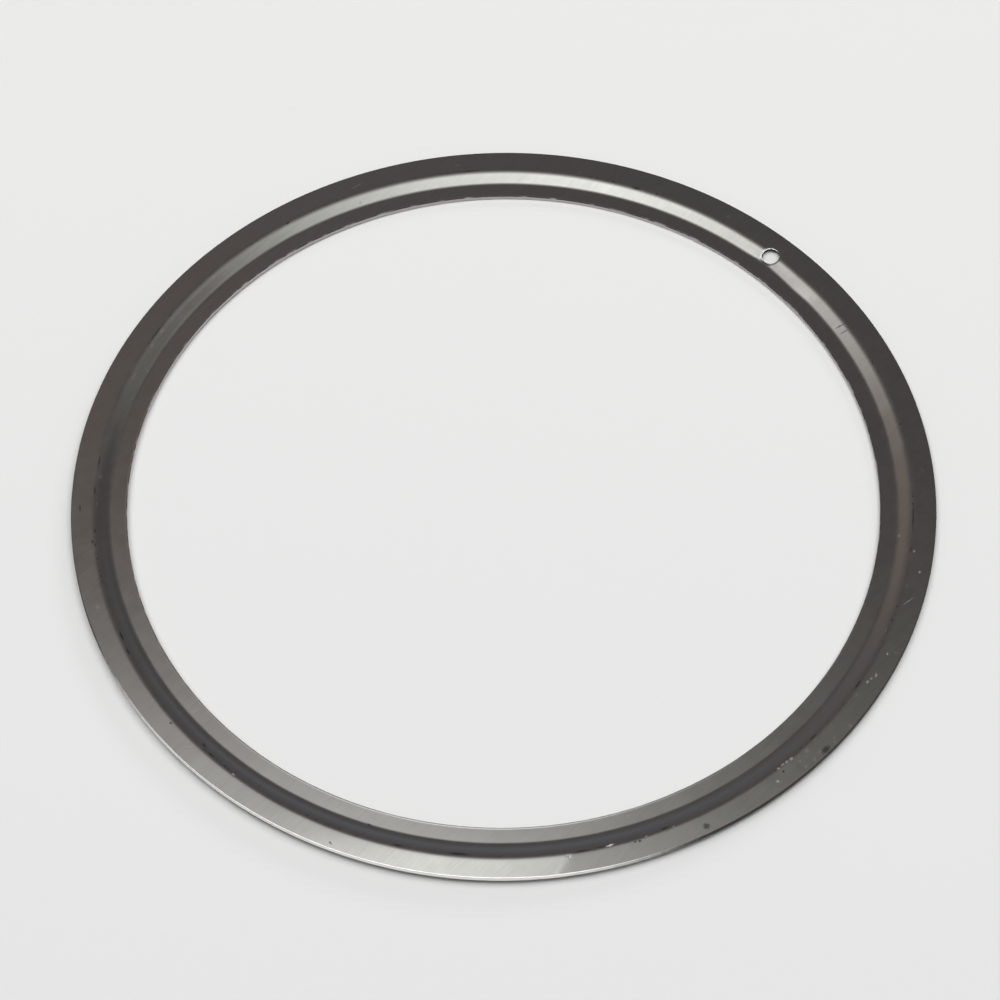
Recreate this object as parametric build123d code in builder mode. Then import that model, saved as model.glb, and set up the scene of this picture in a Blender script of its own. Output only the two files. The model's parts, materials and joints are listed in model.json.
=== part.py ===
from build123d import *
import os

# Pressed metal ring gasket, made from one piece of spring-hard stainless sheet.
# A compound die blanks the rim and the bore in one stroke and forms a half bead between
# them: a shallow step that lifts the outer land above the inner one. Clamped between two
# flat flanges, the step is flattened and its two bends press a sealing line on each face.
#
# Frame: +Z is the ring's axis. The inner land lies on the plane Z = 0, the outer land
# stands above it, and the small hole is on the +X side. Every length is in millimetres.

# Bands of the ring, each measured outwards from the bore
bore_diameter = 95.8
inner_land_width = 2.2
step_width = 1.95
outer_land_width = 2.95

# Section of the sheet
sheet_thickness = 0.6
step_height = 0.26
foot_bend_radius = 2.0
head_bend_radius = 3.4

# Sheared edges: the die rolls the upper face over and leaves the lower one square
rolled_edge_radius = 0.1

# Small hole through the head of the step
hole_diameter = 2.2
hole_inset = 0.47

# Radii that follow from the bands
bore_radius = bore_diameter / 2
step_foot_radius = bore_radius + inner_land_width
step_head_radius = step_foot_radius + step_width
rim_radius = step_head_radius + outer_land_width
hole_centre_radius = step_head_radius - hole_inset

# Heights of the middle of the sheet in the two lands
inner_land_height = sheet_thickness / 2
outer_land_height = inner_land_height + step_height


with BuildPart() as gasket_ring:
    # The sheet's section, drawn as its middle line and thickened evenly to both sides
    with BuildSketch(Plane.XZ) as sheet_section:
        with BuildLine():
            FilletPolyline(
                (bore_radius, inner_land_height),
                (step_foot_radius, inner_land_height),
                (step_head_radius, outer_land_height),
                (rim_radius, outer_land_height),
                radius=[foot_bend_radius, head_bend_radius],
            )
        trace(line_width=sheet_thickness)

        # Bore and rim are sheared from the same side, so both roll over on the upper face
        corners_by_radius = sheet_section.vertices().group_by(Axis.X)
        upper_bore_corner = corners_by_radius[0].sort_by(Axis.Y)[-1]
        upper_rim_corner = corners_by_radius[-1].sort_by(Axis.Y)[-1]
        fillet([upper_bore_corner, upper_rim_corner], radius=rolled_edge_radius)
    revolve(axis=Axis.Z)

    # The hole is pierced straight down, across the slope of the step and the outer land
    with Locations((hole_centre_radius, 0, 0)):
        Hole(radius=hole_diameter / 2)

gasket_ring.part.label = "gasket_ring"

os.makedirs("parts", exist_ok=True)
export_step(gasket_ring.part, "parts/gasket_ring.step")
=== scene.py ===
"""Looks of a pressed metal ring gasket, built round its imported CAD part.

The gasket is one stamped ring of cold-rolled stainless sheet: an inner land, a shallow
step called a half bead, and an outer land that stands a little higher. Here the flat blank
is cut first and a Geometry Nodes press then forms the step in it, as the die does.
"""

import json
import logging
import math
from dataclasses import dataclass, field
from enum import Enum
from functools import partial

import bmesh
import bpy
from mathutils import Matrix, Vector


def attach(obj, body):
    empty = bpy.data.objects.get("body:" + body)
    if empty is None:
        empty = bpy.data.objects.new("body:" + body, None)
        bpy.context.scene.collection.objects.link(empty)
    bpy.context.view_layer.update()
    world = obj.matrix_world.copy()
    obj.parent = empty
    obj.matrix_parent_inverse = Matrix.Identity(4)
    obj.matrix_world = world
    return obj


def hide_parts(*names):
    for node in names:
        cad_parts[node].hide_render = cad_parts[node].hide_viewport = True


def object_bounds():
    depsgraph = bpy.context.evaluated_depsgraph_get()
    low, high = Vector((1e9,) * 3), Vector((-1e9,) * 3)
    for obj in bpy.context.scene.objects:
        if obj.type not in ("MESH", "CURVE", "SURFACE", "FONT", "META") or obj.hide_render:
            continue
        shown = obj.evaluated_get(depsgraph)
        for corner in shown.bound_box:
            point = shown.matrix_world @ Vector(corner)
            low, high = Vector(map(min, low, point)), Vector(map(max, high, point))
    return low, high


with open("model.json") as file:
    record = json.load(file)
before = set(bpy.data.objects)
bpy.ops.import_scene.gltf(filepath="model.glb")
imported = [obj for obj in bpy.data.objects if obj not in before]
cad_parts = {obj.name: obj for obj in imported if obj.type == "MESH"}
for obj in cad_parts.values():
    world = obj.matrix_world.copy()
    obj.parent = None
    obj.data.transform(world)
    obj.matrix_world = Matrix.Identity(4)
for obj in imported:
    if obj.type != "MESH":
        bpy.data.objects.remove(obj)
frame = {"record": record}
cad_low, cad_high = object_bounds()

MM = 0.001
LOG = logging.getLogger("gasket")

# The kinds of node that the trees use most
MATHS, VECTORS, RANGES = "ShaderNodeMath", "ShaderNodeVectorMath", "ShaderNodeMapRange"
JOIN, SPLIT, MAPPING = "ShaderNodeCombineXYZ", "ShaderNodeSeparateXYZ", "ShaderNodeMapping"
NOISE, MIX, PLACE = "ShaderNodeTexNoise", "ShaderNodeMix", "ShaderNodeTexCoord"
PRINCIPLED, OUTPUT = "ShaderNodeBsdfPrincipled", "ShaderNodeOutputMaterial"


def linear(hex_colour: str) -> tuple[float, float, float, float]:
    """Turn an sRGB hex colour into the linear colour that Blender's sockets take.

    Args:
        hex_colour: Six hex digits after a hash sign.

    Returns:
        Linear red, green and blue, and an alpha of one.
    """
    channels = [int(hex_colour[i : i + 2], 16) / 255 for i in (1, 3, 5)]
    return (
        *(c / 12.92 if c <= 0.04045 else ((c + 0.055) / 1.055) ** 2.4 for c in channels),
        1.0,
    )


def add_node(
    tree: bpy.types.NodeTree,
    kind: str,
    inputs: dict | list | None = None,
    output: int | str = 0,
    **settings: object,
) -> bpy.types.NodeSocket | None:
    """Add a node to a tree with its settings and its links.

    Args:
        tree: The shader or geometry tree to add to.
        kind: The node's type name.
        inputs: What feeds its sockets, each a value or another node's output: a dictionary by
            name or number, or a list for the first ones in order.
        output: Which output to return.
        **settings: Properties of the node itself.

    Returns:
        That output of the new node, or None where it has no outputs.
    """
    node = tree.nodes.new(kind)
    for name, value in settings.items():
        setattr(node, name, value)
    if isinstance(inputs, list):
        inputs = dict(enumerate(inputs))
    for key, value in (inputs or {}).items():
        socket = node.inputs[key]
        if isinstance(value, bpy.types.NodeSocket):
            tree.links.new(value, socket)
        else:
            socket.default_value = value
    return node.outputs[output] if node.outputs else None


def empty_tree(owner: bpy.types.ID) -> bpy.types.NodeTree:
    """Give something that is shaded an empty node tree.

    Args:
        owner: A material, a lamp or a world.

    Returns:
        Its tree.
    """
    owner.use_nodes = True
    owner.node_tree.nodes.clear()
    return owner.node_tree


def mount(name: str) -> dict:
    """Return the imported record's mount of that name."""
    return next(m for m in frame["record"]["mounts"] if m["name"] == name)


@dataclass(frozen=True)
class SheetSizes:
    """Sizes of the sheet and its section, in metres.

    The bore, the rim, the gauge and the step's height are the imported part's. The others are
    fitted to the looks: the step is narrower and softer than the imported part's, and it stands
    a little off the ring's axis.

    Attributes:
        bore: Radius of the bore.
        rim: Radius of the rim.
        thickness: Gauge of the sheet.
        step: Height from one land to the other.
        inner_land: Width of the inner land, out to where the step starts.
        step_width: Width of the step.
        foot_bend: Bend radius at the step's foot, in the middle of the sheet.
        head_bend: Bend radius at its head, in the middle of the sheet.
        foot_offset: How far the foot's circle stands off the ring's axis.
        head_offset: How far the head's circle stands off it.
        rim_roll: Radius of the rim's upper edge, which the die rolls over.
        bore_roll: Radius of the bore's upper edge, which the die rolls over too.
    """

    bore: float
    rim: float
    thickness: float
    step: float
    inner_land: float = 2.33 * MM
    step_width: float = 1.64 * MM
    foot_bend: float = 5.5 * MM
    head_bend: float = 8.0 * MM
    foot_offset: tuple[float, float, float] = (-0.278 * MM, -0.113 * MM, 0.0)
    head_offset: tuple[float, float, float] = (0.033 * MM, 0.022 * MM, 0.0)
    rim_roll: float = 0.08 * MM
    bore_roll: float = 0.09 * MM

    @property
    def foot(self) -> float:
        """Return the radius where the step starts on the inner land."""
        return self.bore + self.inner_land

    @property
    def head(self) -> float:
        """Return the radius where the step ends on the outer land."""
        return self.foot + self.step_width

    @classmethod
    def from_frame(cls) -> "SheetSizes":
        """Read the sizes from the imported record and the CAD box.

        Returns:
            This ring's sizes.
        """
        bore = mount("bore")["dims"]
        thickness = bore["length_mm"] * MM
        step = cad_high.z - cad_low.z - thickness
        return cls(bore=bore["r_mm"] * MM, rim=cad_high.x, thickness=thickness, step=step)


@dataclass
class Blank:
    """The flat ring as the blanking die leaves it, before the step is pressed.

    Its mesh has z = 0 in the middle of the sheet. The upper edges of the rim, the bore and
    the small hole are rolled over. The lower edges of the rim and the bore are square, and the
    hole is wider at the bottom.

    Attributes:
        sizes: Sizes of the sheet.
        hole_radius: Radius of the small hole.
        hole_centre: Distance of the small hole from the ring's axis.
        hole_roll: Radius of the small hole's rolled edge.
        dish_width: Width of the band round it that the punch drags down.
        dish_depth: How far it drags that band down.
        hole_flare: How much further out its wall is at the bottom, where the slug broke away.
        flare_top: Height where that flare starts, as a share of half the thickness.
        columns: Steps round the ring outside the small hole's window.
        wall_rows: Rows on the rim and bore below the rolled edge, as shares of the thickness.
        hem: Width of the flat row that keeps a rolled edge's shading off the face.
        burr_width: Width of the fine burr that the punch raises round the bore.
        burr_height: Its height.
        near: Half the width of the close rows at the step's foot.
        far: Half the width of the close rows at the step's head.
        bend_rows: How many close rows there are at each.
        window: Half the side of the window that the small hole's collar fills.
        window_columns: Steps across that window.
        arc_steps: Steps round a rolled edge.
        collar_steps: Steps from the window's side to the small hole.
    """

    sizes: SheetSizes
    hole_radius: float
    hole_centre: float
    hole_roll: float = 0.09 * MM
    dish_width: float = 0.17 * MM
    dish_depth: float = 0.012 * MM
    hole_flare: float = 0.12 * MM
    flare_top: float = 0.1
    columns: int = 700
    wall_rows: tuple[float, ...] = (0.2, 0.4, 0.6)
    hem: float = 0.02 * MM
    burr_width: float = 0.17 * MM
    burr_height: float = 0.012 * MM
    near: float = 0.76 * MM
    far: float = 0.72 * MM
    bend_rows: int = 15
    window: float = 1.62 * MM
    window_columns: int = 22
    arc_steps: int = 6
    collar_steps: int = 5

    def radii(self) -> list[float]:
        """Place the rows on either face, closest together at the bends.

        Returns:
            Their radii, from the bore outwards.
        """
        s = self.sizes
        low, high = s.bore + s.bore_roll, s.rim - s.rim_roll
        rows = [low]
        for stop, steps in (
            (low + self.hem, 1),
            (low + self.burr_width, 2),
            (low + self.burr_width + self.hem, 1),
            (s.foot - self.near, 2),
            (s.foot + self.near, self.bend_rows),
            (s.head - self.far, 2),
            (s.head + self.far, self.bend_rows),
            (self.hole_centre + self.window, 2),
            (high - self.hem, 5),
            (high, 1),
        ):
            start = rows[-1]
            rows += [start + (stop - start) * i / steps for i in range(1, steps + 1)]
        return rows

    def outline(self) -> list[tuple[float, float]]:
        """Draw the section's closed outline as radius and height, bore side first.

        Returns:
            Points up the bore wall, over its rolled edge, out along the upper face, over
            the rim's rolled edge, down the rim and back along the lower face.
        """
        s = self.sizes
        half = s.thickness / 2
        top = half + self.burr_height
        rows = self.radii()
        arc = [math.radians(90 * i / self.arc_steps) for i in range(self.arc_steps)]
        drops = [share * s.thickness for share in self.wall_rows]
        points = [(s.bore, half - s.bore_roll - drop) for drop in drops[::-1]]
        points += [
            (s.bore + s.bore_roll * (1 - math.cos(a)), top - s.bore_roll * (1 - math.sin(a)))
            for a in arc
        ]
        for r in rows:
            burr = max(0.0, 1 - (r - s.bore - s.bore_roll) / self.burr_width)
            points.append((r, half + burr * self.burr_height))
        points += [
            (s.rim - s.rim_roll * (1 - math.cos(a)), half - s.rim_roll * (1 - math.sin(a)))
            for a in arc[::-1]
        ]
        points += [(s.rim, half - s.rim_roll - drop) for drop in drops]
        return points + [(s.rim, -half), *((r, -half) for r in rows[::-1]), (s.bore, -half)]

    def angles(self) -> list[float]:
        """Place the columns, starting at the window's lower side.

        Returns:
            Their angles, anticlockwise from above.
        """
        half = self.window / self.hole_centre
        inside = [-half + 2 * half * i / self.window_columns for i in range(self.window_columns)]
        span = 2 * math.pi - 2 * half
        outside = [half + span * i / self.columns for i in range(self.columns)]
        return inside + outside

    def window_loop(self, first_row: int, last_row: int, rows: int) -> list[int]:
        """Find the window's border vertices, once round, anticlockwise from above.

        Args:
            first_row: Row of the outline on the window's inner side.
            last_row: Row of the outline on the window's outer side.
            rows: Rows in the whole outline.

        Returns:
            Vertex numbers.
        """
        step = 1 if last_row > first_row else -1
        last = self.window_columns
        loop = [(0, k) for k in range(first_row, last_row, step)]
        loop += [(j, last_row) for j in range(last)]
        loop += [(last, k) for k in range(last_row, first_row, -step)]
        loop += [(j, first_row) for j in range(last, 0, -1)]
        return [j * rows + k for j, k in loop]

    def mesh(self) -> bpy.types.Mesh:
        """Build the blank as one closed shell of quads.

        Returns:
            The mesh, with the small hole on the +X side.
        """
        outline = self.outline()
        angles = self.angles()
        rows, columns = len(outline), len(angles)
        points = [
            Vector((r * math.cos(a), r * math.sin(a), z)) for a in angles for r, z in outline
        ]

        # The rows on either face that the small hole's window takes out
        half = self.sizes.thickness / 2
        sides = (self.sizes.foot - self.near, self.hole_centre + self.window)
        edges, cut = {}, set()
        for level in (half, -half):
            flat = [k for k, (r, z) in enumerate(outline) if math.isclose(z, level)]
            edges[level] = [min(flat, key=lambda k: abs(outline[k][0] - side)) for side in sides]
            cut |= set(range(min(edges[level]), max(edges[level])))

        faces = []
        for j in range(columns):
            here, after = j * rows, (j + 1) % columns * rows
            for k in range(rows):
                if j < self.window_columns and k in cut:
                    continue
                up = (k + 1) % rows
                faces.append((here + k, after + k, after + up, here + up))
        upper = self.window_loop(*edges[half], rows)
        lower = self.window_loop(*edges[-half], rows)
        faces += self.collar(points, upper, lower)
        mesh = bpy.data.meshes.new("blank")
        mesh.from_pydata(points, [], faces)
        shell = bmesh.new()
        shell.from_mesh(mesh)
        bmesh.ops.recalc_face_normals(shell, faces=shell.faces)
        shell.to_mesh(mesh)
        shell.free()
        return mesh

    def collar(
        self, points: list[Vector], upper: list[int], lower: list[int]
    ) -> list[tuple[int, ...]]:
        """Join both windows through the small hole.

        Args:
            points: The blank's vertices; the collar's own are added to them.
            upper: Border of the upper face's window.
            lower: Border of the lower face's window.

        Returns:
            The collar's faces.
        """
        half = self.sizes.thickness / 2
        top = half - self.dish_depth
        centre = Vector((self.hole_centre, 0, 0))
        rolled = self.hole_radius + self.hole_roll
        dished = rolled + self.dish_width
        flared = self.hole_radius + self.hole_flare

        # Each ring's radius, its share of the way from the window's border, and its height
        profile = [(dished, i / self.collar_steps, half) for i in range(1, self.collar_steps + 1)]
        profile.append((rolled + self.hem, 1.0, top))
        for i in range(self.arc_steps + 1):
            turn = math.radians(90 * i / self.arc_steps)
            reach = rolled - self.hole_roll * math.sin(turn)
            profile.append((reach, 1.0, top - self.hole_roll * (1 - math.cos(turn))))
        profile.append((self.hole_radius, 1.0, half * self.flare_top))
        profile += [(flared, i / 3, -half) for i in (3, 2, 1)]

        rings = [upper]
        for reach, share, height in profile:
            ring = []
            for number in upper:
                border = Vector((points[number].x, points[number].y, 0))
                circle = centre + (border - centre).normalized() * reach
                spot = border.lerp(circle, share)
                ring.append(len(points))
                points.append(Vector((spot.x, spot.y, height)))
            rings.append(ring)
        rings.append(lower)
        count = len(upper)
        return [
            (a[i], a[(i + 1) % count], b[(i + 1) % count], b[i])
            for a, b in zip(rings, rings[1:])
            for i in range(count)
        ]


@dataclass(frozen=True)
class Ripple:
    """A place where a bend line strays from its circle.

    Attributes:
        angle: Where it is round the ring, in degrees from the small hole.
        reach: How far it reaches to either side, in degrees.
        shift: How far the bend moves outwards, in millimetres.
    """

    angle: float
    reach: float
    shift: float


@dataclass
class Press:
    """The forming tool: a Geometry Nodes tree that presses the step into the blank.

    Attributes:
        sizes: Sizes of the sheet.
        foot_ripples: Where the bend at the step's foot strays.
        head_ripples: Where the bend at the step's head strays.
        wander: How far both bends wander besides.
        wander_length: Length of one such wander along a bend.
        seed: Seed of that wander.
        crease: Where the outer land's crease meets the step, in degrees from the small hole.
        crease_slant: Degrees by which the crease turns back for each metre outwards.
        droop: How far the rim dips to one side of the crease.
        droop_limits: Degrees past the crease where the dip is nil and where it is full, first
            at the crease and then at its far end.
        wall_facing: Upward share of the normal below which a face is part of a cut wall.
        sharp: Angle in degrees from which an edge is shaded as sharp.
        sockets: Identifiers of the tree's named inputs, filled in as it is built.
    """

    sizes: SheetSizes
    foot_ripples: tuple[Ripple, ...] = (Ripple(0, 4.0, 0.24), Ripple(-6.4, 3.6, -0.15))
    head_ripples: tuple[Ripple, ...] = (Ripple(84, 15, 0.07),)
    wander: float = 0.03 * MM
    wander_length: float = 9 * MM
    seed: float = 4.0
    crease: float = -127.6
    crease_slant: float = 550.0
    droop: float = 0.055 * MM
    droop_limits: tuple[tuple[float, float], ...] = ((0.4, -1.0), (-40.0, -16.0))
    wall_facing: float = 0.6
    sharp: float = 50.0
    sockets: dict[str, str] = field(default_factory=dict)

    def inputs(self) -> dict[str, float | tuple[float, float, float]]:
        """List the tree's named inputs.

        Returns:
            Each input's name and the value that this gasket gives it.
        """
        s = self.sizes
        return {
            "Sheet thickness": s.thickness,
            "Step height": s.step,
            "Rolled rim": s.rim - s.rim_roll,
            "Rolled bore": s.bore + s.bore_roll,
            "Foot radius": s.foot,
            "Head radius": s.head,
            "Foot bend radius": s.foot_bend,
            "Head bend radius": s.head_bend,
            "Foot offset": s.foot_offset,
            "Head offset": s.head_offset,
            "Bend wander": self.wander,
            "Droop slope": self.droop / (s.rim - s.head),
            "Seed": self.seed,
        }

    def tree(self, sheet: bpy.types.Material, sheared: bpy.types.Material) -> bpy.types.NodeTree:
        """Build the press.

        Args:
            sheet: Finish of both faces.
            sheared: Finish of the rim, the bore and the small hole's wall.

        Returns:
            A geometry tree whose sizes are named inputs.
        """
        tree = bpy.data.node_groups.new("half bead press", "GeometryNodeTree")
        tree.is_modifier = True
        add = partial(add_node, tree)
        face = tree.interface
        for way in ("OUTPUT", "INPUT"):
            face.new_socket("Geometry", in_out=way, socket_type="NodeSocketGeometry")
        for name, value in self.inputs().items():
            kind = "NodeSocketVector" if isinstance(value, tuple) else "NodeSocketFloat"
            made = face.new_socket(name, in_out="INPUT", socket_type=kind)
            self.sockets[name] = made.identifier
        given = add("NodeGroupInput").node.outputs

        # Where each point of the flat blank is, in rings and columns
        place = add("GeometryNodeInputPosition")
        x, y, z = add(SPLIT, [place]).node.outputs
        flat = add(JOIN, [x, y])
        radius = add(VECTORS, [flat], 1, operation="LENGTH")
        angle = add(MATHS, [y, x], operation="ARCTAN2")
        inputs = {"W": given["Seed"], "Scale": 1 / self.wander_length, "Detail": 3.0}
        drift = add(NOISE, {"Vector": place, **inputs}, noise_dimensions="4D")
        drift = add(MATHS, [drift, 0.5], operation="SUBTRACT")
        drift = add(MATHS, [drift, given["Bend wander"]], operation="MULTIPLY")

        # How far each point is past the foot's line and past the head's line
        past = {}
        for end, ripples in (("Foot", self.foot_ripples), ("Head", self.head_ripples)):
            line = add(MATHS, [given[f"{end} radius"], drift], operation="ADD")
            for ripple in ripples:
                off = add(MATHS, [angle, math.radians(ripple.angle)], operation="SUBTRACT")
                off = add(MATHS, [off], operation="ABSOLUTE")
                limits = {"From Min": math.radians(ripple.reach), "From Max": 0.0}
                hump = add(RANGES, {"Value": off, **limits}, interpolation_type="SMOOTHSTEP")
                line = add(MATHS, [hump, ripple.shift * MM, line], operation="MULTIPLY_ADD")
            away = add(VECTORS, [flat, given[f"{end} offset"]], operation="SUBTRACT")
            away = add(VECTORS, [away], 1, operation="LENGTH")
            past[end] = add(MATHS, [away, line], operation="SUBTRACT")
        run = add(MATHS, [past["Foot"], past["Head"]], operation="SUBTRACT")
        steep = add(MATHS, [given["Step height"], run], operation="DIVIDE")

        # Each bend is an arc, so the slope ramps evenly from one straight to the next
        half = add(MATHS, [steep], operation="ARCTANGENT")
        half = add(MATHS, [half, 2.0], operation="DIVIDE")
        half = add(MATHS, [half], operation="TANGENT")
        ramps, rises = [], []
        for end, beyond in past.items():
            reach = add(MATHS, [given[f"{end} bend radius"], half], operation="MULTIPLY")
            back = add(MATHS, [reach, -1.0], operation="MULTIPLY")
            ramp = add(RANGES, {"Value": beyond, "From Min": back, "From Max": reach})
            bent = add(MATHS, [ramp, 2.0], operation="POWER")
            rest = add(MATHS, [beyond, reach], operation="SUBTRACT")
            rest = add(MATHS, [rest, 0.0], operation="MAXIMUM")
            ramps.append(ramp)
            rises.append(add(MATHS, [bent, reach, rest], operation="MULTIPLY_ADD"))
        slope = add(MATHS, ramps, operation="SUBTRACT")
        slope = add(MATHS, [slope, steep], operation="MULTIPLY")
        rise = add(MATHS, rises, operation="SUBTRACT")
        rise = add(MATHS, [rise, steep], operation="MULTIPLY")

        # A slanting crease in the outer land, beyond which the rim droops for a while
        outer = add(MATHS, [radius, given["Head radius"]], operation="SUBTRACT")
        turn = add(MATHS, [angle, 180 / math.pi, -self.crease], operation="MULTIPLY_ADD")
        turn = add(MATHS, [outer, self.crease_slant, turn], operation="MULTIPLY_ADD")
        sag = add(MATHS, [outer, 0.0], operation="MAXIMUM")
        for start, stop in self.droop_limits:
            limits = {"From Min": start, "From Max": stop}
            mask = add(RANGES, {"Value": turn, **limits}, interpolation_type="SMOOTHSTEP")
            sag = add(MATHS, [sag, mask], operation="MULTIPLY")
        sag = add(MATHS, [sag, given["Droop slope"]], operation="MULTIPLY")
        rise = add(MATHS, [rise, sag], operation="SUBTRACT")

        # The sheet keeps its thickness, so points off its middle lean with the slope
        tilt = add(MATHS, [slope], operation="ARCTANGENT")
        lean = add(MATHS, [tilt], operation="SINE")
        lean = add(MATHS, [lean, z], operation="MULTIPLY")
        lift = add(MATHS, [tilt], operation="COSINE")
        height = add(MATHS, [lift, z, rise], operation="MULTIPLY_ADD")
        height = add(MATHS, [given["Sheet thickness"], 0.5, height], operation="MULTIPLY_ADD")
        shrink = add(MATHS, [lean, radius], operation="DIVIDE")
        shrink = add(MATHS, [1.0, shrink], operation="SUBTRACT")
        moved = add(VECTORS, {0: flat, 3: shrink}, operation="SCALE")
        moved = add(SPLIT, [moved]).node.outputs
        formed = add(JOIN, [moved[0], moved[1], height])
        inputs = {"Geometry": given["Geometry"], "Position": formed}
        shape = add("GeometryNodeSetPosition", inputs)
        shape = add("GeometryNodeSetShadeSmooth", {"Geometry": shape})
        shape = add("GeometryNodeRealizeInstances", {"Geometry": shape})
        shape = add("GeometryNodeSetMaterial", {"Geometry": shape, "Material": sheet})

        # The rolled edges and every steep face are part of a cut wall
        facing = add("GeometryNodeInputNormal")
        facing = add(SPLIT, [facing], 2)
        facing = add(MATHS, [facing], operation="ABSOLUTE")
        is_wall = add(MATHS, [facing, self.wall_facing], operation="LESS_THAN")
        at_rim = add(MATHS, [radius, given["Rolled rim"]], operation="GREATER_THAN")
        at_bore = add(MATHS, [radius, given["Rolled bore"]], operation="LESS_THAN")
        for edge in (at_rim, at_bore):
            is_wall = add(MATHS, [is_wall, edge], operation="MAXIMUM")
        inputs = {"Geometry": shape, "Selection": is_wall, "Material": sheared}
        shape = add("GeometryNodeSetMaterial", inputs)
        add("NodeGroupOutput", {"Geometry": shape})
        return tree

    def form(
        self,
        blank: bpy.types.Mesh,
        name: str,
        sheet: bpy.types.Material,
        sheared: bpy.types.Material,
    ) -> bpy.types.Object:
        """Press the blank and return the finished piece as a plain mesh.

        Args:
            blank: The flat blank.
            name: Name of the piece.
            sheet: Finish of both faces.
            sheared: Finish of the cut walls.

        Returns:
            The formed piece at the origin.
        """
        work = bpy.data.objects.new("pressing", blank)
        bpy.context.scene.collection.objects.link(work)
        modifier = work.modifiers.new("press", "NODES")
        modifier.node_group = self.tree(sheet, sheared)
        for socket, value in self.inputs().items():
            modifier[self.sockets[socket]] = value
        bpy.context.view_layer.update()
        graph = bpy.context.evaluated_depsgraph_get()
        mesh = bpy.data.meshes.new_from_object(work.evaluated_get(graph))
        mesh.name = name
        mesh.set_sharp_from_angle(angle=math.radians(self.sharp))
        bpy.data.objects.remove(work)
        piece = bpy.data.objects.new(name, mesh)
        bpy.context.scene.collection.objects.link(piece)
        return piece


@dataclass(frozen=True)
class Effect:
    """What one kind of mark does to the rolled face.

    Attributes:
        scuff: How far it dulls the face, from 0 to 1.
        stain: How far it darkens the face, from 0 to 1.
        depth: How deep it is, in millimetres.
    """

    scuff: float
    stain: float
    depth: float


class MarkKind(Enum):
    """The kinds of wear on the sheet."""

    GOUGE = Effect(scuff=0.85, stain=0.0, depth=0.004)
    NICK = Effect(scuff=0.42, stain=0.0, depth=0.002)
    SCRATCH = Effect(scuff=0.32, stain=0.0, depth=0.001)
    SMUDGE = Effect(scuff=0.14, stain=0.0, depth=0.0)
    STAIN = Effect(scuff=0.1, stain=0.7, depth=0.0)


@dataclass(frozen=True)
class Mark:
    """One mark on the upper face.

    Attributes:
        angle: Where it is round the ring, in degrees from the small hole.
        radius: Its distance from the ring's axis, in millimetres.
        length: Its length, in millimetres.
        width: Its width, in millimetres.
        kind: What it does to the sheet.
        turn: Turn of its long side from the run of the ring, in degrees.
    """

    angle: float
    radius: float
    length: float
    width: float
    kind: MarkKind
    turn: float = 0.0


GOUGE, NICK, SCRATCH, SMUDGE, STAIN = MarkKind

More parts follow.
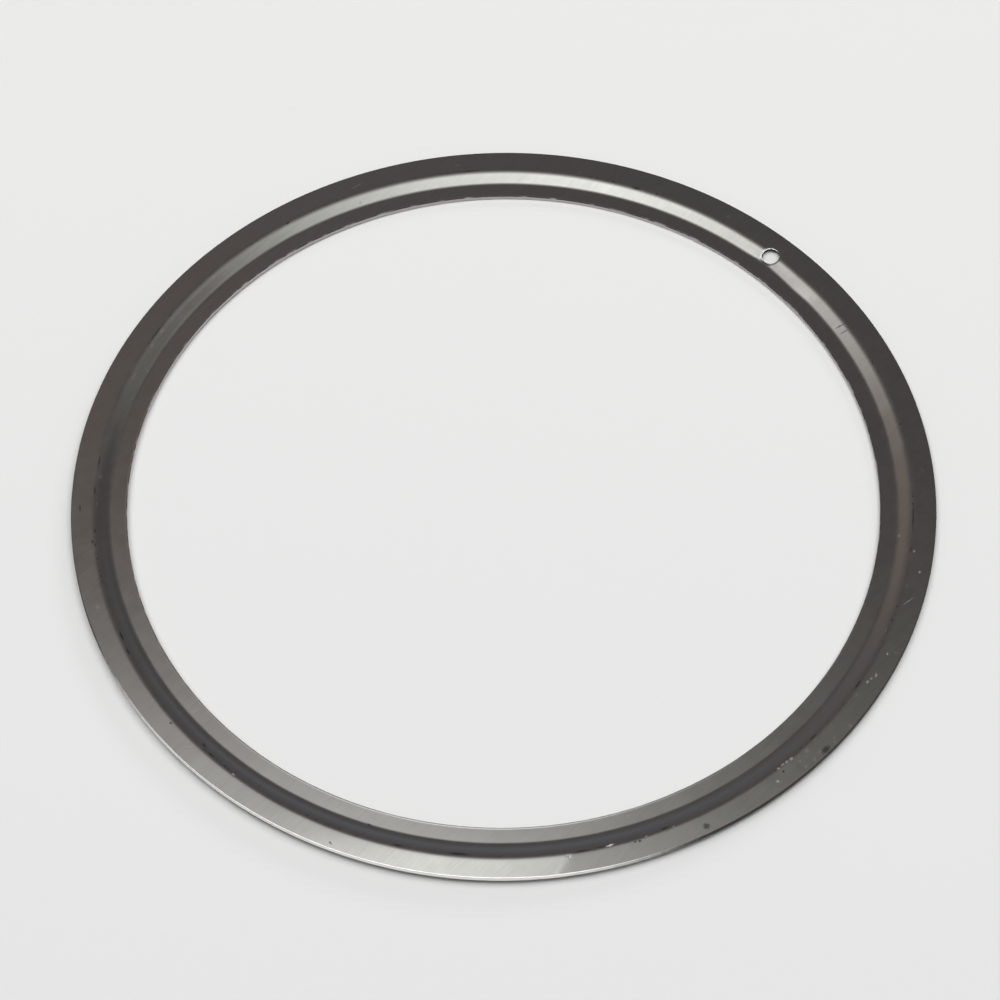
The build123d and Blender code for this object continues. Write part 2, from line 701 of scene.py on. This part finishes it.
# Every mark on the upper face, by region, as the camera sees the ring
MARKS = (
    # Beside the crease in the outer land
    Mark(231.9, 52.75, 0.9, 0.4, GOUGE, 70),
    Mark(231.5, 52.55, 0.8, 0.3, NICK, 20),
    Mark(237.4, 52.2, 1.4, 0.3, GOUGE, 5),
    Mark(234.0, 53.15, 0.6, 0.5, SMUDGE),
    Mark(233.6, 52.2, 2.6, 0.3, STAIN),
    Mark(236.2, 52.15, 1.2, 0.25, STAIN),
    Mark(245.2, 52.05, 1.4, 0.3, STAIN),
    Mark(241.4, 52.65, 0.5, 0.4, STAIN),
    Mark(240.8, 52.6, 0.4, 0.3, STAIN),
    Mark(246.4, 52.3, 0.4, 0.3, NICK),
    Mark(242.4, 52.3, 0.4, 0.3, NICK),
    Mark(241.2, 48.9, 0.6, 0.4, SMUDGE, 30),
    Mark(250.3, 53.95, 1.1, 1.1, STAIN),
    Mark(250.3, 55.0, 0.5, 0.4, NICK),
    Mark(217.1, 51.9, 3.0, 0.4, STAIN),
    # To the right of the crease, where the face is scuffed most
    Mark(265.5, 52.3, 0.8, 0.5, NICK, 10),
    Mark(264.7, 52.25, 0.6, 0.4, NICK),
    Mark(264.0, 52.2, 0.7, 0.35, NICK),
    Mark(263.2, 52.3, 0.5, 0.4, NICK),
    Mark(266.1, 53.3, 0.5, 0.5, SMUDGE),
    Mark(267.9, 52.85, 0.7, 0.7, SMUDGE),
    Mark(261.8, 53.6, 0.5, 0.4, NICK),
    Mark(274.6, 54.6, 0.7, 0.5, SMUDGE, 40),
    Mark(271.4, 54.5, 0.7, 0.4, SMUDGE, 60),
    Mark(269.0, 54.05, 0.9, 0.4, SMUDGE, -20),
    Mark(267.7, 54.35, 0.8, 0.4, SMUDGE, 60),
    Mark(266.1, 54.3, 0.6, 0.5, SMUDGE),
    Mark(270.1, 52.1, 1.4, 0.35, STAIN),
    Mark(269.8, 54.4, 1.8, 1.0, STAIN),
    Mark(263.4, 53.0, 0.5, 0.4, STAIN),
    Mark(287.4, 54.2, 0.9, 0.4, SMUDGE, 90),
    Mark(286.7, 53.3, 0.6, 0.3, NICK, 15),
    Mark(283.0, 53.4, 0.8, 0.35, NICK, 15),
    Mark(282.2, 53.1, 0.5, 0.35, NICK),
    Mark(281.5, 52.95, 0.6, 0.4, NICK, 20),
    Mark(279.0, 52.8, 0.7, 0.4, SMUDGE, 70),
    Mark(280.5, 52.1, 2.2, 0.3, STAIN),
    Mark(295.6, 53.2, 2.3, 0.2, SCRATCH, -36),
    Mark(290.1, 51.8, 0.8, 0.4, SMUDGE),
    Mark(297.9, 52.5, 0.5, 0.4, SMUDGE),
    # The right side
    Mark(303.7, 52.5, 0.6, 0.4, NICK),
    Mark(306.1, 50.45, 0.5, 0.4, NICK),
    Mark(303.8, 51.5, 0.5, 0.4, SMUDGE),
    Mark(300.5, 53.65, 0.6, 0.4, NICK),
    Mark(317.1, 53.6, 0.5, 0.4, SMUDGE),
    Mark(309.1, 52.05, 5.0, 0.25, STAIN),
    Mark(324.6, 49.6, 0.6, 0.4, SMUDGE),
    Mark(332.9, 51.2, 0.6, 0.4, SMUDGE),
    Mark(344.1, 51.2, 1.8, 0.25, STAIN, 88),
    Mark(342.9, 51.2, 1.6, 0.25, STAIN, 92),
    # The back
    Mark(23.2, 52.0, 1.6, 0.5, STAIN),
    Mark(31.9, 52.45, 0.9, 0.2, SCRATCH, 70),
    Mark(48.1, 52.1, 3.6, 0.25, STAIN),
    Mark(49.6, 53.3, 0.9, 0.6, SMUDGE),
    Mark(9.1, 53.2, 0.9, 0.6, SMUDGE),
    Mark(64.4, 53.3, 2.4, 0.2, SCRATCH, 12),
    Mark(66.9, 53.7, 0.5, 0.4, SMUDGE),
    Mark(65.0, 50.6, 0.6, 0.4, NICK),
    # The left side, with one deep nick on the step
    Mark(103.4, 52.1, 4.6, 0.25, STAIN),
    Mark(111.3, 51.5, 1.4, 0.5, SMUDGE),
    Mark(105.4, 51.6, 1.2, 0.4, SMUDGE),
    Mark(102.6, 51.6, 0.9, 0.4, SMUDGE),
    Mark(109.7, 50.25, 0.7, 0.4, SMUDGE),
    Mark(90.7, 51.6, 0.7, 0.4, SMUDGE),
    Mark(76.3, 52.05, 0.9, 0.4, STAIN),
    Mark(126.7, 52.05, 2.4, 0.3, STAIN),
    Mark(131.6, 52.1, 1.8, 0.3, STAIN),
    Mark(140.1, 52.4, 0.6, 0.4, STAIN),
    Mark(138.3, 52.0, 0.8, 0.3, STAIN),
    Mark(134.5, 53.85, 1.4, 0.3, STAIN, 5),
    Mark(133.8, 51.75, 0.6, 0.4, SMUDGE),
    Mark(129.2, 51.6, 0.6, 0.4, SMUDGE),
    # The front left
    Mark(156.2, 51.9, 2.0, 0.35, STAIN),
    Mark(158.9, 52.0, 1.4, 0.3, STAIN),
    Mark(150.6, 53.4, 0.8, 0.6, SMUDGE),
    Mark(146.6, 51.45, 0.6, 0.4, SMUDGE),
    Mark(183.75, 52.2, 0.5, 0.4, NICK),
    Mark(176.4, 53.3, 1.1, 0.25, SCRATCH, 37),
    Mark(179.4, 52.0, 1.4, 0.3, STAIN),
    Mark(177.6, 51.65, 0.9, 0.3, STAIN),
    Mark(171.9, 52.7, 0.5, 0.4, STAIN),
    Mark(172.3, 49.25, 1.5, 0.5, SMUDGE, 85),
    Mark(174.6, 49.1, 1.4, 0.4, SMUDGE, 80),
    Mark(200.3, 54.25, 0.8, 0.25, STAIN, -30),
    Mark(204.0, 50.1, 0.5, 0.4, STAIN),
    Mark(208.8, 52.0, 1.6, 0.3, STAIN),
)


@dataclass(frozen=True)
class RolledStainless:
    """Cold-rolled, bright-annealed stainless sheet that has been handled.

    Almost a mirror, so it shows the dark room with the lamp's glow fading across it. The
    straight grain of the rolls breaks the glow up a little, and the nicks, scuffs and stains
    of handling catch the light or lose it.

    Attributes:
        sizes: Sizes of the sheet.
        marks: The marks on its upper face.
        mark_reach: How far a mark reaches into the sheet, short of its lower face.
        fray: How far the ragged edge of a mark strays.
        fray_size: Size of that raggedness.
        speck_size: Distance from one fine speck to the next.
        worn: Direction where the specks are thickest, in degrees from the small hole.
        colour: Its colour at normal incidence.
        film: Colour where a thin brown film of old oil lies on it.
        bared: Colour of metal that a scuff has bared.
        soil: Colour of a stain.
        roughness: Its mean roughness.
        uneven: How far its roughness strays from the mean.
        scuffed: Its roughness where it is scuffed right through.
        rolling: Direction in which the sheet was rolled, in degrees from the small hole.
        grain: Length and width of the rolls' grain, about four times as coarse as real, which
            is too fine to show.
        peel_size: Size of the faint orange peel.
        wave_size: Size of the slow waves in the face.
        cloud_size: Size of the cloudy patches.
    """

    sizes: SheetSizes
    marks: tuple[Mark, ...] = MARKS
    mark_reach: float = 0.4 * MM
    fray: float = 0.3 * MM
    fray_size: float = 0.25 * MM
    speck_size: float = 0.9 * MM
    worn: float = 262.0
    colour: str = "#CACBC7"
    film: str = "#B7B6B1"
    bared: str = "#E2E2DE"
    soil: str = "#3C3833"
    roughness: float = 0.105
    uneven: float = 0.012
    scuffed: float = 0.5
    rolling: float = -50.0
    grain: tuple[float, float] = (2.5 * MM, 0.12 * MM)
    peel_size: float = 0.35 * MM
    wave_size: float = 7 * MM
    cloud_size: float = 1.5 * MM

    def spots(
        self, tree: bpy.types.NodeTree, place: bpy.types.NodeSocket, kind: MarkKind
    ) -> bpy.types.NodeSocket | float:
        """Add every mark of one kind.

        Args:
            tree: The material's tree.
            place: Where each point is, already made ragged.
            kind: The kind of mark.

        Returns:
            How strong those marks are at each point, from 0 to 1.
        """
        s = self.sizes
        total = 0.0
        for mark in self.marks:
            if mark.kind is not kind:
                continue
            turn = math.radians(mark.angle)
            reach = mark.radius * MM
            climb = (reach - s.foot) / (s.head - s.foot)
            height = s.thickness + s.step * min(max(climb, 0.0), 1.0)
            inputs = {
                "Vector": place,
                "Location": (reach * math.cos(turn), reach * math.sin(turn), height),
                "Rotation": (0.0, 0.0, turn + math.radians(90 + mark.turn)),
                "Scale": (mark.length / 2 * MM, mark.width / 2 * MM, self.mark_reach),
            }
            spot = add_node(tree, MAPPING, inputs, vector_type="TEXTURE")
            spot = add_node(tree, "ShaderNodeTexGradient", [spot], 1, gradient_type="SPHERICAL")
            total = add_node(tree, MATHS, [total, spot], operation="MAXIMUM")
        return total

    def material(self) -> bpy.types.Material:
        """Build the sheet's finish.

        Returns:
            The material.
        """
        material = bpy.data.materials.new("handled_rolled_stainless")
        tree = empty_tree(material)
        add = partial(add_node, tree)
        place = add(PLACE, output="Object")
        x, y, _ = add(SPLIT, [place]).node.outputs
        flat = add(JOIN, [x, y])

        # The marks, with ragged edges
        fray = add(NOISE, {"Vector": place, "Scale": 1 / self.fray_size}, 1)
        fray = add(VECTORS, [fray, (0.5, 0.5, 0.5)], operation="SUBTRACT")
        ragged = add(VECTORS, [fray, (self.fray,) * 3, place], operation="MULTIPLY_ADD")
        scuff, stain, depth = 0.0, 0.0, 0.0
        for kind in MarkKind:
            spot = self.spots(tree, ragged, kind)
            spot = add(RANGES, {"Value": spot, "From Max": 0.6})
            more = add(RANGES, {"Value": spot, "To Max": kind.value.scuff})
            scuff = add(MATHS, [scuff, more], operation="MAXIMUM")
            more = add(RANGES, {"Value": spot, "To Max": kind.value.stain})
            stain = add(MATHS, [stain, more], operation="MAXIMUM")
            more = add(RANGES, {"Value": spot, "To Max": -kind.value.depth})
            depth = add(MATHS, [depth, more], operation="ADD")

        # Fine specks where other parts have rubbed the outer land, thickest near the crease
        inputs = {"Vector": ragged, "Scale": 1 / self.speck_size}
        cell = add("ShaderNodeTexVoronoi", inputs).node.outputs
        speck = add(RANGES, {"Value": cell[0], "From Min": 0.2, "From Max": 0.08})
        pick = add(SPLIT, [cell[1]])
        pick = add(RANGES, {"Value": pick, "From Min": 0.72, "From Max": 0.9})
        worn = math.radians(self.worn)
        worn = (math.cos(worn), math.sin(worn), 0.0)
        toward = add(VECTORS, [flat], operation="NORMALIZE")
        toward = add(VECTORS, [toward, worn], 1, operation="DOT_PRODUCT")
        toward = add(RANGES, {"Value": toward, "From Min": 0.8, "From Max": 0.98})
        outer = add(VECTORS, [flat], 1, operation="LENGTH")
        outer = add(MATHS, [outer, self.sizes.head + 0.3 * MM], operation="GREATER_THAN")
        for limit in (pick, toward, outer, 0.2):
            speck = add(MATHS, [speck, limit], operation="MULTIPLY")
        scuff = add(MATHS, [scuff, speck], operation="MAXIMUM")

        # Rub marks along the head's bend, which stands proud of the rest
        away = add(VECTORS, [flat, self.sizes.head_offset], operation="SUBTRACT")
        away = add(VECTORS, [away], 1, operation="LENGTH")
        away = add(MATHS, [away, self.sizes.head + 0.2 * MM], operation="SUBTRACT")
        away = add(MATHS, [away], operation="ABSOLUTE")
        band = add(RANGES, {"Value": away, "From Min": 0.16 * MM, "From Max": 0.04 * MM})
        for seed, size, low, high in ((0.0, 0.45, 0.54, 0.62), (7.0, 6.0, 0.47, 0.6)):
            inputs = {"Vector": place, "W": seed, "Scale": 1 / (size * MM)}
            patch = add(NOISE, inputs, noise_dimensions="4D")
            patch = add(RANGES, {"Value": patch, "From Min": low, "From Max": high})
            band = add(MATHS, [band, patch], operation="MULTIPLY")
        band = add(MATHS, [band, 0.6], operation="MULTIPLY")
        stain = add(MATHS, [stain, band], operation="MAXIMUM")

        # The relief in millimetres: the marks, the grain of the rolls, orange peel and waves
        length, width = self.grain
        inputs = {
            "Vector": place,
            "Rotation": (0.0, 0.0, math.radians(-self.rolling)),
            "Scale": (1 / length, 1 / width, 1 / length),
        }
        along = add(MAPPING, inputs)
        grain = add(NOISE, {"Vector": along, "Scale": 1.0})
        peel = add(NOISE, {"Vector": place, "Scale": 1 / self.peel_size})
        wave = add(NOISE, {"Vector": place, "Scale": 1 / self.wave_size})
        height = depth
        for texture, rise in ((grain, 0.00012), (peel, 0.0003), (wave, 0.01)):
            height = add(MATHS, [texture, rise, height], operation="MULTIPLY_ADD")
        normal = add("ShaderNodeBump", {"Height": height, "Distance": MM})

        # Its colour: bare steel, a patchy film, and stains
        film = add(NOISE, {"Vector": along, "Scale": 0.3, "Detail": 5.0})
        film = add(MATHS, [film, grain], operation="ADD")
        film = add(RANGES, {"Value": film, "From Min": 0.85, "From Max": 1.3, "To Max": 0.3})
        colour = linear(self.colour)
        for share, shade in ((film, self.film), (scuff, self.bared), (stain, self.soil)):
            colour = add(MIX, {0: share, 6: colour, 7: linear(shade)}, 2, data_type="RGBA")

        # Its roughness: even, but for a cloudy patch here and there and the scuffs
        cloud = add(NOISE, {"Vector": place, "Scale": 1 / self.cloud_size, "Detail": 4.0})
        low, high = self.roughness - self.uneven, self.roughness + self.uneven
        limits = {"From Min": 0.3, "From Max": 0.7, "To Min": low, "To Max": high}
        rough = add(RANGES, {"Value": cloud, **limits})
        rough = add(RANGES, {"Value": scuff, "To Min": rough, "To Max": self.scuffed})
        shader = {"Base Color": colour, "Metallic": 1.0, "Roughness": rough, "Normal": normal}
        add(OUTPUT, {"Surface": add(PRINCIPLED, shader)})
        return material


@dataclass(frozen=True)
class ShearedStainless:
    """The wall that the blanking die leaves, pale on one side of the rim as a painted highlight.

    The pale part has the colour of burnished metal and mirrors the floor; where it lies on the
    rim, toward highlight_side, it is a painted highlight. The rest has the darker colour of
    torn metal, a broken grey surface that light is lost in, and along the bore's lip that dark
    colour is painted shade. Fine drag lines run down both.

    Attributes:
        sizes: Sizes of the sheet.
        burnished_highlight: Colour of the painted highlights, that of burnished metal at normal
            incidence.
        torn_and_shade: Colour of the torn metal; along the bore's lip it is painted shade.
        bore: Colour of the bore's wall, which is even all round.
        smooth: Roughness of the pale part under the painted highlights.
        broken: Roughness of the torn part.
        highlight_side: Direction of the middle of the rim's painted highlight, in degrees from
            the small hole.
        margin: How far in from the rim the painted highlight may reach, and the painted glints
            from the bore.
        drag: Width of a drag line.
        drag_stretch: How fast that pattern changes down the wall, against round it.
        patch_size: Size of the unevenness of the painted highlight's border.
        glint_size: Length of one painted glint along the bore's upper edge.
    """

    sizes: SheetSizes
    burnished_highlight: str = "#F0EEEB"
    torn_and_shade: str = "#4B4541"
    bore: str = "#C4BEBC"
    smooth: float = 0.3
    broken: float = 0.6
    highlight_side: float = 202.0
    margin: float = 0.3 * MM
    drag: float = 0.12 * MM
    drag_stretch: float = 0.12
    patch_size: float = 1.2 * MM
    glint_size: float = 1.6 * MM

    def material(self) -> bpy.types.Material:
        """Build the cut wall's finish.

        Returns:
            The material.
        """
        s = self.sizes
        material = bpy.data.materials.new("sheared_stainless")
        add = partial(add_node, empty_tree(material))
        place = add(PLACE, output="Object")
        x, y, z = add(SPLIT, [place]).node.outputs
        flat = add(JOIN, [x, y])

        # Drag lines straight down the wall
        along = add(MAPPING, {"Vector": place, "Scale": (1.0, 1.0, self.drag_stretch)})
        drag = add(NOISE, {"Vector": along, "Scale": 1 / self.drag})
        patch = add(NOISE, {"Vector": along, "Scale": 1 / self.patch_size})

        # Painted highlight: the rim's wall is painted pale on the side toward highlight_side,
        # with an uneven border
        aim = math.radians(self.highlight_side)
        aim = (math.cos(aim), math.sin(aim), 0.0)
        toward = add(VECTORS, [flat], operation="NORMALIZE")
        toward = add(VECTORS, [toward, aim], 1, operation="DOT_PRODUCT")
        toward = add(MATHS, [patch, 0.08, toward], operation="MULTIPLY_ADD")
        inputs = {"Value": toward, "From Min": 0.7, "From Max": 0.93}
        highlight_side = add(RANGES, inputs, interpolation_type="SMOOTHSTEP")
        reach = add(VECTORS, [flat], 1, operation="LENGTH")
        at_rim = add(MATHS, [reach, s.rim - self.margin], operation="GREATER_THAN")
        share = add(MATHS, [highlight_side, at_rim], operation="MULTIPLY")

        # Painted highlight: pale glints painted in patches along the bore's upper edge
        at_bore = add(MATHS, [reach, s.bore + self.margin], operation="LESS_THAN")
        limits = {"From Min": s.thickness * 0.65, "From Max": s.thickness * 0.8}
        edge = add(RANGES, {"Value": z, **limits})
        burr = add(NOISE, {"Vector": place, "Scale": 1 / self.glint_size})
        burr = add(RANGES, {"Value": burr, "From Min": 0.5, "From Max": 0.64, "To Max": 0.3})
        for limit in (edge, at_bore):
            burr = add(MATHS, [burr, limit], operation="MULTIPLY")
        share = add(MATHS, [share, burr], operation="MAXIMUM")

        # Dark torn colour, which is painted shade on the bore's lip, but for the bore's even wall
        # and the highlights
        even = add(MATHS, [z, s.thickness - s.bore_roll], operation="LESS_THAN")
        even = add(MATHS, [even, at_bore], operation="MULTIPLY")
        colour = linear(self.torn_and_shade)
        for part, shade in ((even, self.bore), (share, self.burnished_highlight)):
            colour = add(MIX, {0: part, 6: colour, 7: linear(shade)}, 2, data_type="RGBA")
        rough = add(RANGES, {"Value": share, "To Min": self.broken, "To Max": self.smooth})
        rough = add(MATHS, [drag, 0.1, rough], operation="MULTIPLY_ADD")
        normal = add("ShaderNodeBump", {"Height": drag, "Distance": 0.012 * MM})
        shader = {"Base Color": colour, "Metallic": 1.0, "Roughness": rough, "Normal": normal}
        add(OUTPUT, {"Surface": add(PRINCIPLED, shader)})
        return material


@dataclass(frozen=True)
class SoftLamp:
    """A soft studio lamp, placed by its direction from the gasket.

    Attributes:
        name: Its name.
        azimuth: Degrees to the right of the camera's line of sight.
        elevation: Degrees above the floor.
        distance: Metres from the gasket.
        width: Its width across.
        height: Its height.
        radiance: How bright its face is, where one is the brightness of a white surface.
        turn: Turn of its face about its own axis, in degrees.
        fade: Where its light starts to fade and where it ends, as shares of its size from its
            middle, or none where its face is even.
    """

    name: str
    azimuth: float
    elevation: float
    distance: float
    width: float
    height: float
    radiance: float
    turn: float = 0.0
    fade: tuple[float, float] | None = None

    def build(self, heading: float) -> bpy.types.Object:
        """Add the lamp.

        Args:
            heading: Azimuth of the camera in degrees, which the lamps turn with.

        Returns:
            The lamp's object.
        """
        lamp = bpy.data.lights.new(self.name, "AREA")
        lamp.shape = "RECTANGLE"
        lamp.size, lamp.size_y = self.width, self.height
        lamp.energy = self.radiance * self.width * self.height * math.pi
        if self.fade:
            self.feather(lamp)
        item = bpy.data.objects.new(self.name, lamp)
        bpy.context.scene.collection.objects.link(item)
        side, lift = math.radians(self.azimuth), math.radians(self.elevation)
        level = Vector((math.sin(side) * math.cos(lift), math.cos(side) * math.cos(lift), 0))
        spin = Matrix.Rotation(math.radians(heading), 3, "Z")
        back = spin @ (level + Vector((0, 0, math.sin(lift))))
        across = (spin @ Vector((math.cos(side), -math.sin(side), 0))).normalized()
        face = Matrix((across, back.cross(across), back)).transposed()
        face = face @ Matrix.Rotation(math.radians(self.turn), 3, "Z")
        item.matrix_world = Matrix.Translation(back * self.distance) @ face.to_4x4()
        return item

    def feather(self, lamp: bpy.types.Light) -> None:
        """Let the lamp's light fade smoothly from its middle to its edge.

        Args:
            lamp: The lamp's data.
        """
        add = partial(add_node, empty_tree(lamp))
        spot = add("ShaderNodeNewGeometry", output="Parametric")
        away = add(VECTORS, [spot, (0.5, 0.5, 0.0)], operation="SUBTRACT")
        away = add(VECTORS, [away], 1, operation="LENGTH")
        start, stop = self.fade
        limits = {"From Min": start, "From Max": stop, "To Min": 1.0, "To Max": 0.0}
        fade = add(RANGES, {"Value": away, **limits}, interpolation_type="SMOOTHSTEP")
        add("ShaderNodeOutputLight", [add("ShaderNodeEmission", {"Strength": fade})])


@dataclass(frozen=True)
class RoomTint:
    """A part of the dim room that has a colour of its own.

    Attributes:
        colour: Its colour.
        limits: For each axis that bounds it, 0 to the camera's right and 2 upwards, the axis,
            how far along it the tint starts, and how far along it the tint is full, where
            the room is a ball of radius one.
    """

    colour: str
    limits: tuple[tuple[int, float, float], ...]


@dataclass
class Studio:
    """The pale floor, the lamps, the dim room and the camera.

    Attributes:
        heading: Azimuth of the camera in degrees, from in front of -Y.
        elevation: Its elevation in degrees.
        roll: Its roll in degrees.
        distance: Its distance in metres from the point it aims at.
        aim: Sideways and upward offset of that point from the ring's middle, in metres.
        lens: Focal length for a 36 mm sensor.
        gap: How far the floor falls away below the ring's near side, which shows a thin shadow.
        skew: How far the line of that fall is turned from the camera's, in degrees.
        floor_front_shaded: Colour of the floor in front of the gasket, a little darker as painted
            shade.
        floor_back_lit: Its colour behind the gasket, a little lighter as painted light.
        shading: How far before and behind the ring's axis the floor's colour changes.
        reach: How far the flat of the floor reaches.
        cove: Radius of its curve up into the backdrop.
        cove_turn: Degrees that the curve turns through.
        backdrop: Radius and height of the backdrop's upper edge.
        room: Colour of the dim room.
        tints: The parts of the room that have colours of their own.
        lamps: The lamps.
    """

    heading: float = -45.96
    elevation: float = 56.87
    roll: float = -1.14
    distance: float = 0.5931
    aim: tuple[float, float] = (-0.43 * MM, -0.38 * MM)
    lens: float = 167.8
    gap: float = 1.0 * MM
    skew: float = -25.0
    floor_front_shaded: str = "#E3E5E4"
    floor_back_lit: str = "#EAEBEA"
    shading: float = 76 * MM
    reach: float = 2.6
    cove: float = 1.4
    cove_turn: float = 55.0
    backdrop: tuple[float, float] = (4.4, 1.4)
    room: str = "#504B4B"
    tints: tuple[RoomTint, ...] = (
        # Low down at the back
        RoomTint("#6A6A70", ((2, 0.88, 0.6),)),
        # To the left, and further to the left
        RoomTint("#91817A", ((0, 0.06, -0.36), (2, 0.7, 0.83))),
        RoomTint("#8B8077", ((0, -0.14, -0.25), (2, 0.7, 0.83))),
        # High up to the right
        RoomTint("#72706C", ((0, -0.04, 0.04), (2, 0.84, 0.865))),
        # Straight above
        RoomTint("#B2B2B0", ((2, 0.968, 0.992),)),
    )
    lamps: tuple[SoftLamp, ...] = (
        SoftLamp("feathered glow", -4.3, 66.0, 3.0, 1.28, 0.848, 3.92, -34.6, (-0.59, 0.5)),
        SoftLamp("right panel", 96.0, 72.0, 2.2, 1.1, 1.1, 3.7),
        SoftLamp("left panel", -96.0, 72.0, 2.2, 1.1, 1.1, 3.7),
        SoftLamp("front panel", 180.0, 72.0, 2.4, 1.4, 0.7, 5.2),
        SoftLamp("back panel", 32.0, 25.0, 2.4, 1.1, 0.6, 4.5),
    )

    def build_camera(self) -> None:
        """Add the camera and make it the scene's."""
        turn, lift, roll = (math.radians(v) for v in (self.heading, self.elevation, self.roll))
        right = Vector((math.cos(turn), math.sin(turn), 0))
        back = Vector(
            (math.sin(turn) * math.cos(lift), -math.cos(turn) * math.cos(lift), math.sin(lift))
        )
        up = back.cross(right)
        across = right * math.cos(roll) + up * math.sin(roll)
        rising = up * math.cos(roll) - right * math.sin(roll)
        target = Vector((0, 0, cad_high.z)) + right * self.aim[0] + up * self.aim[1]
        data = bpy.data.cameras.new("camera")
        data.sensor_width = 36.0
        data.lens = self.lens
        data.clip_start, data.clip_end = 0.01, 50.0
        camera = bpy.data.objects.new("camera", data)
        bpy.context.scene.collection.objects.link(camera)
        axes = Matrix((across, rising, back)).transposed().to_4x4()
        camera.matrix_world = Matrix.Translation(target + back * self.distance) @ axes
        bpy.context.scene.camera = camera

    def floor_mesh(self) -> bpy.types.Mesh:
        """Build the floor, which falls away a little below the ring's near side.

        Returns:
            Its mesh.
        """
        profile = [(0.4, 0.0), (1.2, 0.0), (self.reach, 0.0)]
        steps, around = 8, 96
        for i in range(1, steps + 1):
            bend = math.radians(self.cove_turn * i / steps)
            rise = self.cove * (1 - math.cos(bend))
            profile.append((self.reach + self.cove * math.sin(bend), rise))
        profile.append(self.backdrop)
        turn = math.radians(self.heading) + math.radians(self.skew)
        uphill = Vector((-math.sin(turn), math.cos(turn), 0.0))
        fall = self.gap / 2 / cad_high.x
        rows = len(profile)
        middle = around * rows
        points, faces = [], []
        for j in range(around):
            side = 2 * math.pi * j / around
            for r, z in profile:
                spot = Vector((r * math.cos(side), r * math.sin(side), z - self.gap / 2))
                points.append(spot + Vector((0.0, 0.0, fall * spot.dot(uphill))))
            here, after = j * rows, (j + 1) % around * rows
            faces.append((middle, here, after))
            faces += [(here + k, here + k + 1, after + k + 1, after + k) for k in range(rows - 1)]
        points.append(Vector((0.0, 0.0, -self.gap / 2)))
        mesh = bpy.data.meshes.new("floor")
        mesh.from_pydata(points, [], faces)
        for polygon in mesh.polygons:
            polygon.use_smooth = True
        return mesh

    def build_floor(self) -> None:
        """Add a wide pale floor that curves up into a low backdrop all round.

        It is matt board with no gloss; its colour is painted darker in front, lighter behind, as
        painted shade.
        """
        turn = math.radians(self.heading)
        ahead = Vector((-math.sin(turn), math.cos(turn), 0.0))
        material = bpy.data.materials.new("pale_board")
        add = partial(add_node, empty_tree(material))
        place = add(PLACE, output="Object")
        # Painted light and shade: darker in front of the ring's axis, lighter behind
        away = add(VECTORS, [place, ahead], 1, operation="DOT_PRODUCT")
        away = add(RANGES, {"Value": away, "From Min": -self.shading, "From Max": self.shading})
        shades = {6: linear(self.floor_front_shaded), 7: linear(self.floor_back_lit)}
        colour = add(MIX, {0: away, **shades}, 2, data_type="RGBA")
        shader = {"Base Color": colour, "Roughness": 0.9, "Specular IOR Level": 0.2}
        add(OUTPUT, {"Surface": add(PRINCIPLED, shader)})
        mesh = self.floor_mesh()
        mesh.materials.append(material)
        item = bpy.data.objects.new("floor", mesh)
        bpy.context.scene.collection.objects.link(item)

    def build_room(self) -> None:
        """Make the room round the lamps dim, and set how the view is shown."""
        scene = bpy.context.scene
        scene.view_settings.view_transform = "Standard"
        scene.world = bpy.data.worlds.new("dim room")
        add = partial(add_node, empty_tree(scene.world))
        place = add(PLACE, output="Generated")
        turned = {"Vector": place, "Rotation": (0.0, 0.0, math.radians(-self.heading))}
        split = add(SPLIT, [add(MAPPING, turned)]).node.outputs
        colour = linear(self.room)
        for tint in self.tints:
            share = 1.0
            for axis, start, stop in tint.limits:
                limits = {"Value": split[axis], "From Min": start, "From Max": stop}
                reach = add(RANGES, limits, interpolation_type="SMOOTHSTEP")
                share = add(MATHS, [share, reach], operation="MULTIPLY")
            shades = {6: colour, 7: linear(tint.colour)}
            colour = add(MIX, {0: share, **shades}, 2, data_type="RGBA")
        add("ShaderNodeOutputWorld", {"Surface": add("ShaderNodeBackground", {"Color": colour})})

    def build(self) -> None:
        """Set up the whole studio."""
        self.build_camera()
        self.build_floor()
        self.build_room()
        for lamp in self.lamps:
            lamp.build(self.heading)
            LOG.info("lamp %s", lamp.name)


@dataclass
class GasketRing:
    """The one piece of the gasket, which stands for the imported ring."""

    sizes: SheetSizes

    def build(self) -> bpy.types.Object:
        """Cut the blank, press it and dress it.

        Returns:
            The finished ring.
        """
        hole = mount("small_hole")
        blank = Blank(
            self.sizes,
            hole_radius=hole["dims"]["r_mm"] * MM,
            hole_centre=hole["pos_m"][0],
        )
        ring = Press(self.sizes).form(
            blank.mesh(),
            "pressed_ring",
            RolledStainless(self.sizes).material(),
            ShearedStainless(self.sizes).material(),
        )
        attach(ring, "root")
        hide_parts("gasket_ring")
        return ring


def main() -> None:
    """Build the studio and the gasket, and report each piece."""
    logging.basicConfig(level=logging.INFO, format="%(name)s: %(message)s")
    Studio().build()
    ring = GasketRing(SheetSizes.from_frame()).build()
    LOG.info("piece %s: %d faces", ring.name, len(ring.data.polygons))


if __name__ == "__main__":
    main()
